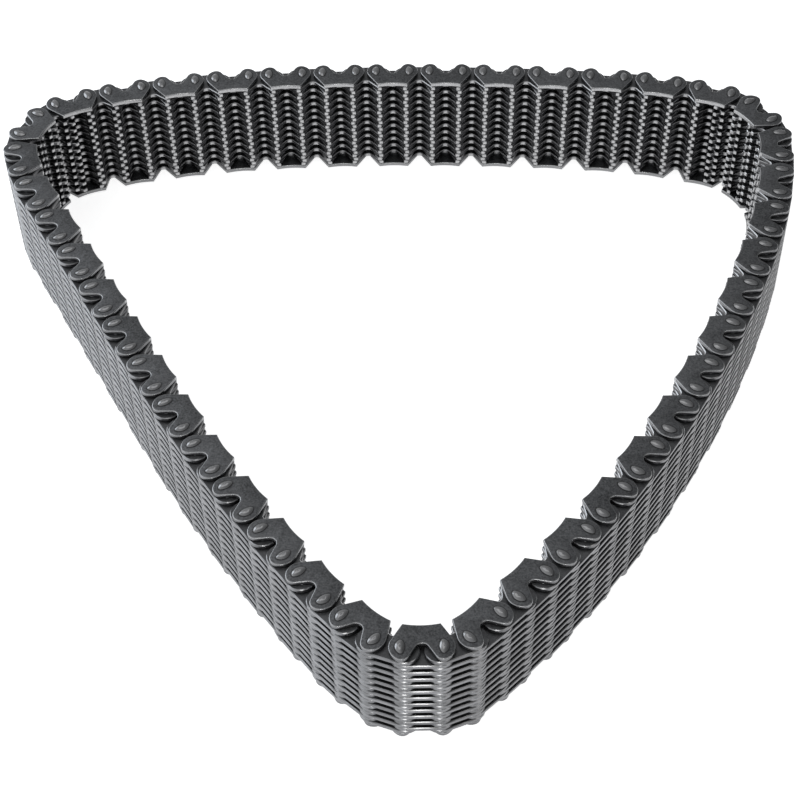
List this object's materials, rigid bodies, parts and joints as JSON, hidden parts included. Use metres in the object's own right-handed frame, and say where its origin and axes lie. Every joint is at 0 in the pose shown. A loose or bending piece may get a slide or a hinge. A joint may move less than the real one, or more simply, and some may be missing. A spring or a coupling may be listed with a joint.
{
  "type": "silent chain",
  "caption": "Endless silent chain: toothed link plates stacked in alternating ranks between outer guide plates, hinged on paired rocker pins, laid on its side as a rounded triangle.",
  "frame": {"origin": "middle of the underside, on the plane that the long pins' lower heads rest on", "axes": "+Z across the chain's width, +X along the back run to the right, +Y from the front bend to the back run"},
  "size_m": [0.27, 0.2552, 0.0391],
  "materials": {
    "guide_plate": "dark satin",
    "link_plate": "dark satin, oiled",
    "rocker_pin": "hardened, peened ends"
  },
  "bodies": {
    "guide_link_27": {"guide_plate_top_27": "guide_plate", "guide_plate_bottom_27": "guide_plate", "link_plates_27": "link_plate", "long_pins_27": "rocker_pin"},
    "inner_link_27": {"inner_plates_27": "link_plate", "short_pins_27": "rocker_pin"},
    "guide_link_28": {"guide_link_28": "link_plate"},
    "inner_link_28": {"inner_link_28": "link_plate"},
    "guide_link_29": {"guide_link_29": "link_plate"},
    "inner_link_29": {"inner_link_29": "link_plate"},
    "link_pair_30": {"link_pair_30": "link_plate"},
    "link_pair_31": {"link_pair_31": "link_plate"},
    "link_pair_32": {"link_pair_32": "link_plate"},
    "link_pair_33": {"link_pair_33": "link_plate"},
    "link_pair_34": {"link_pair_34": "link_plate"},
    "link_pair_35": {"link_pair_35": "link_plate"},
    "link_pair_36": {"link_pair_36": "link_plate"},
    "link_pair_37": {"link_pair_37": "link_plate"},
    "link_pair_38": {"link_pair_38": "link_plate"},
    "guide_link_39": {"guide_link_39": "link_plate"},
    "inner_link_39": {"inner_link_39": "link_plate"},
    "guide_link_40": {"guide_link_40": "link_plate"},
    "inner_link_40": {"inner_link_40": "link_plate"},
    "guide_link_41": {"guide_link_41": "link_plate"},
    "inner_link_41": {"inner_link_41": "link_plate"},
    "guide_link_42": {"guide_link_42": "link_plate"},
    "inner_link_42": {"inner_link_42": "link_plate"},
    "guide_link_01": {"guide_link_01": "link_plate"},
    "inner_link_01": {"inner_link_01": "link_plate"},
    "link_pair_02": {"link_pair_02": "link_plate"},
    "link_pair_03": {"link_pair_03": "link_plate"},
    "link_pair_04": {"link_pair_04": "link_plate"},
    "link_pair_05": {"link_pair_05": "link_plate"},
    "link_pair_06": {"link_pair_06": "link_plate"},
    "link_pair_07": {"link_pair_07": "link_plate"},
    "link_pair_08": {"link_pair_08": "link_plate"},
    "link_pair_09": {"link_pair_09": "link_plate"},
    "link_pair_10": {"link_pair_10": "link_plate"},
    "link_pair_11": {"link_pair_11": "link_plate"},
    "guide_link_12": {"guide_link_12": "link_plate"},
    "inner_link_12": {"inner_link_12": "link_plate"},
    "guide_link_13": {"guide_link_13": "link_plate"},
    "inner_link_13": {"inner_link_13": "link_plate"},
    "guide_link_14": {"guide_link_14": "link_plate"},
    "inner_link_14": {"inner_link_14": "link_plate"},
    "guide_link_15": {"guide_link_15": "link_plate"},
    "inner_link_15": {"inner_link_15": "link_plate"},
    "link_pair_16": {"link_pair_16": "link_plate"},
    "link_pair_17": {"link_pair_17": "link_plate"},
    "link_pair_18": {"link_pair_18": "link_plate"},
    "link_pair_19": {"link_pair_19": "link_plate"},
    "link_pair_20": {"link_pair_20": "link_plate"},
    "link_pair_21": {"link_pair_21": "link_plate"},
    "link_pair_22": {"link_pair_22": "link_plate"},
    "link_pair_23": {"link_pair_23": "link_plate"},
    "link_pair_24": {"link_pair_24": "link_plate"},
    "guide_link_25": {"guide_link_25": "link_plate"},
    "inner_link_25": {"inner_link_25": "link_plate"},
    "guide_link_26": {"guide_link_26": "link_plate"},
    "inner_link_26": {"inner_link_26": "link_plate"}
  },
  "joints": [
    {"name": "pivot_inner_27", "type": "hinge", "parent": "guide_link_27", "child": "inner_link_27", "pos_m": [-0.00092, -0.1233, 0.01957], "axis": [0, 0, 1], "range_deg": [-3.95, 11.84]},
    {"name": "pivot_guide_28", "type": "hinge", "parent": "inner_link_27", "child": "guide_link_28", "pos_m": [-0.0098, -0.11986, 0.01957], "axis": [0, 0, 1], "range_deg": [-3.99, 11.96]},
    {"name": "pivot_inner_28", "type": "hinge", "parent": "guide_link_28", "child": "inner_link_28", "pos_m": [-0.01683, -0.11343, 0.01957], "axis": [0, 0, 1], "range_deg": [-3.14, 1.05]},
    {"name": "pivot_guide_29", "type": "hinge", "parent": "inner_link_28", "child": "guide_link_29", "pos_m": [-0.02324, -0.10639, 0.01957], "axis": [0, 0, 1], "range_deg": [-3.18, 1.06]},
    {"name": "pivot_inner_29", "type": "hinge", "parent": "guide_link_29", "child": "inner_link_29", "pos_m": [-0.02899, -0.09879, 0.01957], "axis": [0, 0, 1], "range_deg": [-3.21, 1.07]},
    {"name": "pivot_pair_30", "type": "hinge", "parent": "inner_link_29", "child": "link_pair_30", "pos_m": [-0.03462, -0.09111, 0.01957], "axis": [0, 0, 1], "range_deg": [-3.23, 1.08]},
    {"name": "pivot_pair_31", "type": "hinge", "parent": "link_pair_30", "child": "link_pair_31", "pos_m": [-0.04551, -0.07548, 0.01957], "axis": [0, 0, 1], "range_deg": [-3.26, 1.09]},
    {"name": "pivot_pair_32", "type": "hinge", "parent": "link_pair_31", "child": "link_pair_32", "pos_m": [-0.05591, -0.05952, 0.01957], "axis": [0, 0, 1], "range_deg": [-3.27, 1.09]},
    {"name": "pivot_pair_33", "type": "hinge", "parent": "link_pair_32", "child": "link_pair_33", "pos_m": [-0.0658, -0.04324, 0.01957], "axis": [0, 0, 1], "range_deg": [-3.26, 1.09]},
    {"name": "pivot_pair_34", "type": "hinge", "parent": "link_pair_33", "child": "link_pair_34", "pos_m": [-0.07518, -0.02666, 0.01957], "axis": [0, 0, 1], "range_deg": [-3.24, 1.08]},
    {"name": "pivot_pair_35", "type": "hinge", "parent": "link_pair_34", "child": "link_pair_35", "pos_m": [-0.08416, -0.00986, 0.01957], "axis": [0, 0, 1], "range_deg": [-3.22, 1.08]},
    {"name": "pivot_pair_36", "type": "hinge", "parent": "link_pair_35", "child": "link_pair_36", "pos_m": [-0.09314, 0.00694, 0.01957], "axis": [0, 0, 1], "range_deg": [-3.19, 1.07]},
    {"name": "pivot_pair_37", "type": "hinge", "parent": "link_pair_36", "child": "link_pair_37", "pos_m": [-0.10212, 0.02374, 0.01957], "axis": [0, 0, 1], "range_deg": [-3.16, 1.06]},
    {"name": "pivot_pair_38", "type": "hinge", "parent": "link_pair_37", "child": "link_pair_38", "pos_m": [-0.1111, 0.04054, 0.01957], "axis": [0, 0, 1], "range_deg": [-3.15, 1.05]},
    {"name": "pivot_guide_39", "type": "hinge", "parent": "link_pair_38", "child": "guide_link_39", "pos_m": [-0.12008, 0.05734, 0.01957], "axis": [0, 0, 1], "range_deg": [-3.15, 1.05]},
    {"name": "pivot_inner_39", "type": "hinge", "parent": "guide_link_39", "child": "inner_link_39", "pos_m": [-0.12458, 0.06574, 0.01957], "axis": [0, 0, 1], "range_deg": [-3.16, 1.06]},
    {"name": "pivot_guide_40", "type": "hinge", "parent": "inner_link_39", "child": "guide_link_40", "pos_m": [-0.12813, 0.07458, 0.01957], "axis": [0, 0, 1], "range_deg": [-3.19, 1.07]},
    {"name": "pivot_inner_40", "type": "hinge", "parent": "guide_link_40", "child": "inner_link_40", "pos_m": [-0.13071, 0.08375, 0.01957], "axis": [0, 0, 1], "range_deg": [-3.95, 11.83]},
    {"name": "pivot_guide_41", "type": "hinge", "parent": "inner_link_40", "child": "guide_link_41", "pos_m": [-0.12988, 0.09323, 0.01957], "axis": [0, 0, 1], "range_deg": [-3.95, 11.83]},
    {"name": "pivot_inner_41", "type": "hinge", "parent": "guide_link_41", "child": "inner_link_41", "pos_m": [-0.12573, 0.10181, 0.01957], "axis": [0, 0, 1], "range_deg": [-3.95, 11.84]},
    {"name": "pivot_guide_42", "type": "hinge", "parent": "inner_link_41", "child": "guide_link_42", "pos_m": [-0.1188, 0.10835, 0.01957], "axis": [0, 0, 1], "range_deg": [-3.95, 11.84]},
    {"name": "pivot_inner_42", "type": "hinge", "parent": "guide_link_42", "child": "inner_link_42", "pos_m": [-0.11001, 0.11201, 0.01957], "axis": [0, 0, 1], "range_deg": [-3.28, 1.1]},
    {"name": "pivot_guide_01", "type": "hinge", "parent": "inner_link_42", "child": "guide_link_01", "pos_m": [-0.10091, 0.11483, 0.01957], "axis": [0, 0, 1], "range_deg": [-3.31, 1.11]},
    {"name": "pivot_inner_01", "type": "hinge", "parent": "guide_link_01", "child": "inner_link_01", "pos_m": [-0.09159, 0.11678, 0.01957], "axis": [0, 0, 1], "range_deg": [-3.32, 1.11]},
    {"name": "pivot_pair_02", "type": "hinge", "parent": "inner_link_01", "child": "link_pair_02", "pos_m": [-0.08221, 0.11846, 0.01957], "axis": [0, 0, 1], "range_deg": [-3.32, 1.11]},
    {"name": "pivot_pair_03", "type": "hinge", "parent": "link_pair_02", "child": "link_pair_03", "pos_m": [-0.06334, 0.12105, 0.01957], "axis": [0, 0, 1], "range_deg": [-3.31, 1.11]},
    {"name": "pivot_pair_04", "type": "hinge", "parent": "link_pair_03", "child": "link_pair_04", "pos_m": [-0.04435, 0.12257, 0.01957], "axis": [0, 0, 1], "range_deg": [-3.3, 1.1]},
    {"name": "pivot_pair_05", "type": "hinge", "parent": "link_pair_04", "child": "link_pair_05", "pos_m": [-0.02531, 0.12318, 0.01957], "axis": [0, 0, 1], "range_deg": [-3.28, 1.1]},
    {"name": "pivot_pair_06", "type": "hinge", "parent": "link_pair_05", "child": "link_pair_06", "pos_m": [-0.00626, 0.12329, 0.01957], "axis": [0, 0, 1], "range_deg": [-3.27, 1.09]},
    {"name": "pivot_inner_26", "type": "hinge", "parent": "guide_link_27", "child": "inner_link_26", "pos_m": [0.00861, -0.12328, 0.01957], "axis": [0, 0, 1], "range_deg": [-11.98, 4]},
    {"name": "pivot_guide_26", "type": "hinge", "parent": "inner_link_26", "child": "guide_link_26", "pos_m": [0.01747, -0.1198, 0.01957], "axis": [0, 0, 1], "range_deg": [-11.97, 3.99]},
    {"name": "pivot_inner_25", "type": "hinge", "parent": "guide_link_26", "child": "inner_link_25", "pos_m": [0.02447, -0.11333, 0.01957], "axis": [0, 0, 1], "range_deg": [-1.06, 3.16]},
    {"name": "pivot_guide_25", "type": "hinge", "parent": "inner_link_25", "child": "guide_link_25", "pos_m": [0.03128, -0.10667, 0.01957], "axis": [0, 0, 1], "range_deg": [-1.07, 3.2]},
    {"name": "pivot_pair_24", "type": "hinge", "parent": "guide_link_25", "child": "link_pair_24", "pos_m": [0.03789, -0.09981, 0.01957], "axis": [0, 0, 1], "range_deg": [-1.08, 3.22]},
    {"name": "pivot_pair_23", "type": "hinge", "parent": "link_pair_24", "child": "link_pair_23", "pos_m": [0.05051, -0.08555, 0.01957], "axis": [0, 0, 1], "range_deg": [-1.09, 3.25]},
    {"name": "pivot_pair_22", "type": "hinge", "parent": "link_pair_23", "child": "link_pair_22", "pos_m": [0.06229, -0.07057, 0.01957], "axis": [0, 0, 1], "range_deg": [-1.09, 3.25]},
    {"name": "pivot_pair_21", "type": "hinge", "parent": "link_pair_22", "child": "link_pair_21", "pos_m": [0.07333, -0.05505, 0.01957], "axis": [0, 0, 1], "range_deg": [-1.08, 3.24]},
    {"name": "pivot_pair_20", "type": "hinge", "parent": "link_pair_21", "child": "link_pair_20", "pos_m": [0.08365, -0.03904, 0.01957], "axis": [0, 0, 1], "range_deg": [-1.07, 3.21]},
    {"name": "pivot_pair_19", "type": "hinge", "parent": "link_pair_20", "child": "link_pair_19", "pos_m": [0.09324, -0.02258, 0.01957], "axis": [0, 0, 1], "range_deg": [-1.06, 3.18]},
    {"name": "pivot_pair_18", "type": "hinge", "parent": "link_pair_19", "child": "link_pair_18", "pos_m": [0.10207, -0.0057, 0.01957], "axis": [0, 0, 1], "range_deg": [-1.05, 3.15]},
    {"name": "pivot_pair_17", "type": "hinge", "parent": "link_pair_18", "child": "link_pair_17", "pos_m": [0.11012, 0.01156, 0.01957], "axis": [0, 0, 1], "range_deg": [-1.04, 3.12]},
    {"name": "pivot_pair_16", "type": "hinge", "parent": "link_pair_17", "child": "link_pair_16", "pos_m": [0.11738, 0.02917, 0.01957], "axis": [0, 0, 1], "range_deg": [-1.04, 3.12]},
    {"name": "pivot_inner_15", "type": "hinge", "parent": "link_pair_16", "child": "inner_link_15", "pos_m": [0.12384, 0.04709, 0.01957], "axis": [0, 0, 1], "range_deg": [-1.05, 3.14]},
    {"name": "pivot_guide_15", "type": "hinge", "parent": "inner_link_15", "child": "guide_link_15", "pos_m": [0.12641, 0.05626, 0.01957], "axis": [0, 0, 1], "range_deg": [-1.06, 3.16]},
    {"name": "pivot_inner_14", "type": "hinge", "parent": "guide_link_15", "child": "inner_link_14", "pos_m": [0.12842, 0.06557, 0.01957], "axis": [0, 0, 1], "range_deg": [-1.07, 3.21]},
    {"name": "pivot_guide_14", "type": "hinge", "parent": "inner_link_14", "child": "guide_link_14", "pos_m": [0.12986, 0.07499, 0.01957], "axis": [0, 0, 1], "range_deg": [-1.09, 3.27]},
    {"name": "pivot_inner_13", "type": "hinge", "parent": "guide_link_14", "child": "inner_link_13", "pos_m": [0.13071, 0.08447, 0.01957], "axis": [0, 0, 1], "range_deg": [-11.72, 3.91]},
    {"name": "pivot_guide_13", "type": "hinge", "parent": "inner_link_13", "child": "guide_link_13", "pos_m": [0.12847, 0.09373, 0.01957], "axis": [0, 0, 1], "range_deg": [-11.7, 3.9]},
    {"name": "pivot_inner_12", "type": "hinge", "parent": "guide_link_13", "child": "inner_link_12", "pos_m": [0.12336, 0.10177, 0.01957], "axis": [0, 0, 1], "range_deg": [-11.71, 3.91]},
    {"name": "pivot_guide_12", "type": "hinge", "parent": "inner_link_12", "child": "guide_link_12", "pos_m": [0.11594, 0.10774, 0.01957], "axis": [0, 0, 1], "range_deg": [-11.72, 3.91]},
    {"name": "pivot_pair_11", "type": "hinge", "parent": "guide_link_12", "child": "link_pair_11", "pos_m": [0.10699, 0.111, 0.01957], "axis": [0, 0, 1], "range_deg": [-1.12, 3.35]},
    {"name": "pivot_pair_10", "type": "hinge", "parent": "link_pair_11", "child": "link_pair_10", "pos_m": [0.0886, 0.11594, 0.01957], "axis": [0, 0, 1], "range_deg": [-1.11, 3.33]},
    {"name": "pivot_pair_09", "type": "hinge", "parent": "link_pair_10", "child": "link_pair_09", "pos_m": [0.06977, 0.11874, 0.01957], "axis": [0, 0, 1], "range_deg": [-1.1, 3.3]},
    {"name": "pivot_pair_08", "type": "hinge", "parent": "link_pair_09", "child": "link_pair_08", "pos_m": [0.05081, 0.12062, 0.01957], "axis": [0, 0, 1], "range_deg": [-1.1, 3.28]},
    {"name": "pivot_pair_07", "type": "hinge", "parent": "link_pair_08", "child": "link_pair_07", "pos_m": [0.03181, 0.12201, 0.01957], "axis": [0, 0, 1], "range_deg": [-1.09, 3.27]}
  ],
  "couplings": [
    {"joint": "pivot_inner_27", "follows": "pivot_pair_09", "ratio": 3.5856},
    {"joint": "pivot_guide_28", "follows": "pivot_pair_09", "ratio": 3.6232},
    {"joint": "pivot_inner_28", "follows": "pivot_pair_09", "ratio": -0.95088},
    {"joint": "pivot_guide_29", "follows": "pivot_pair_09", "ratio": -0.96165},
    {"joint": "pivot_inner_29", "follows": "pivot_pair_09", "ratio": -0.97108},
    {"joint": "pivot_pair_30", "follows": "pivot_pair_09", "ratio": -0.9778},
    {"joint": "pivot_pair_31", "follows": "pivot_pair_09", "ratio": -0.98579},
    {"joint": "pivot_pair_32", "follows": "pivot_pair_09", "ratio": -0.98852},
    {"joint": "pivot_pair_33", "follows": "pivot_pair_09", "ratio": -0.98657},
    {"joint": "pivot_pair_34", "follows": "pivot_pair_09", "ratio": -0.98094},
    {"joint": "pivot_pair_35", "follows": "pivot_pair_09", "ratio": -0.97306},
    {"joint": "pivot_pair_36", "follows": "pivot_pair_09", "ratio": -0.96464},
    {"joint": "pivot_pair_37", "follows": "pivot_pair_09", "ratio": -0.95734},
    {"joint": "pivot_pair_38", "follows": "pivot_pair_09", "ratio": -0.95291},
    {"joint": "pivot_guide_39", "follows": "pivot_pair_09", "ratio": -0.95316},
    {"joint": "pivot_inner_39", "follows": "pivot_pair_09", "ratio": -0.9566},
    {"joint": "pivot_guide_40", "follows": "pivot_pair_09", "ratio": -0.9655},
    {"joint": "pivot_inner_40", "follows": "pivot_pair_09", "ratio": 3.582},
    {"joint": "pivot_guide_41", "follows": "pivot_pair_09", "ratio": 3.582},
    {"joint": "pivot_inner_41", "follows": "pivot_pair_09", "ratio": 3.5871},
    {"joint": "pivot_guide_42", "follows": "pivot_pair_09", "ratio": 3.5857},
    {"joint": "pivot_inner_42", "follows": "pivot_pair_09", "ratio": -0.99389},
    {"joint": "pivot_guide_01", "follows": "pivot_pair_09", "ratio": -1.0026},
    {"joint": "pivot_inner_01", "follows": "pivot_pair_09", "ratio": -1.0058},
    {"joint": "pivot_pair_02", "follows": "pivot_pair_09", "ratio": -1.006},
    {"joint": "pivot_pair_03", "follows": "pivot_pair_09", "ratio": -1.0023},
    {"joint": "pivot_pair_04", "follows": "pivot_pair_09", "ratio": -0.99701},
    {"joint": "pivot_pair_05", "follows": "pivot_pair_09", "ratio": -0.99208},
    {"joint": "pivot_pair_06", "follows": "pivot_pair_09", "ratio": -0.98865},
    {"joint": "pivot_inner_26", "follows": "pivot_pair_09", "ratio": -3.628},
    {"joint": "pivot_guide_26", "follows": "pivot_pair_09", "ratio": -3.6255},
    {"joint": "pivot_inner_25", "follows": "pivot_pair_09", "ratio": 0.95466},
    {"joint": "pivot_guide_25", "follows": "pivot_pair_09", "ratio": 0.96697},
    {"joint": "pivot_pair_24", "follows": "pivot_pair_09", "ratio": 0.97499},
    {"joint": "pivot_pair_23", "follows": "pivot_pair_09", "ratio": 0.98304},
    {"joint": "pivot_pair_22", "follows": "pivot_pair_09", "ratio": 0.98403},
    {"joint": "pivot_pair_21", "follows": "pivot_pair_09", "ratio": 0.97946},
    {"joint": "pivot_pair_20", "follows": "pivot_pair_09", "ratio": 0.97117},
    {"joint": "pivot_pair_19", "follows": "pivot_pair_09", "ratio": 0.96126},
    {"joint": "pivot_pair_18", "follows": "pivot_pair_09", "ratio": 0.95193},
    {"joint": "pivot_pair_17", "follows": "pivot_pair_09", "ratio": 0.94539},
    {"joint": "pivot_pair_16", "follows": "pivot_pair_09", "ratio": 0.94386},
    {"joint": "pivot_inner_15", "follows": "pivot_pair_09", "ratio": 0.94943},
    {"joint": "pivot_guide_15", "follows": "pivot_pair_09", "ratio": 0.95686},
    {"joint": "pivot_inner_14", "follows": "pivot_pair_09", "ratio": 0.96976},
    {"joint": "pivot_guide_14", "follows": "pivot_pair_09", "ratio": 0.98884},
    {"joint": "pivot_inner_13", "follows": "pivot_pair_09", "ratio": -3.5489},
    {"joint": "pivot_guide_13", "follows": "pivot_pair_09", "ratio": -3.5437},
    {"joint": "pivot_inner_12", "follows": "pivot_pair_09", "ratio": -3.5466},
    {"joint": "pivot_guide_12", "follows": "pivot_pair_09", "ratio": -3.5495},
    {"joint": "pivot_pair_11", "follows": "pivot_pair_09", "ratio": 1.0136},
    {"joint": "pivot_pair_10", "follows": "pivot_pair_09", "ratio": 1.0078},
    {"joint": "pivot_pair_08", "follows": "pivot_pair_09", "ratio": 0.99343},
    {"joint": "pivot_pair_07", "follows": "pivot_pair_09", "ratio": 0.98913}
  ]
}
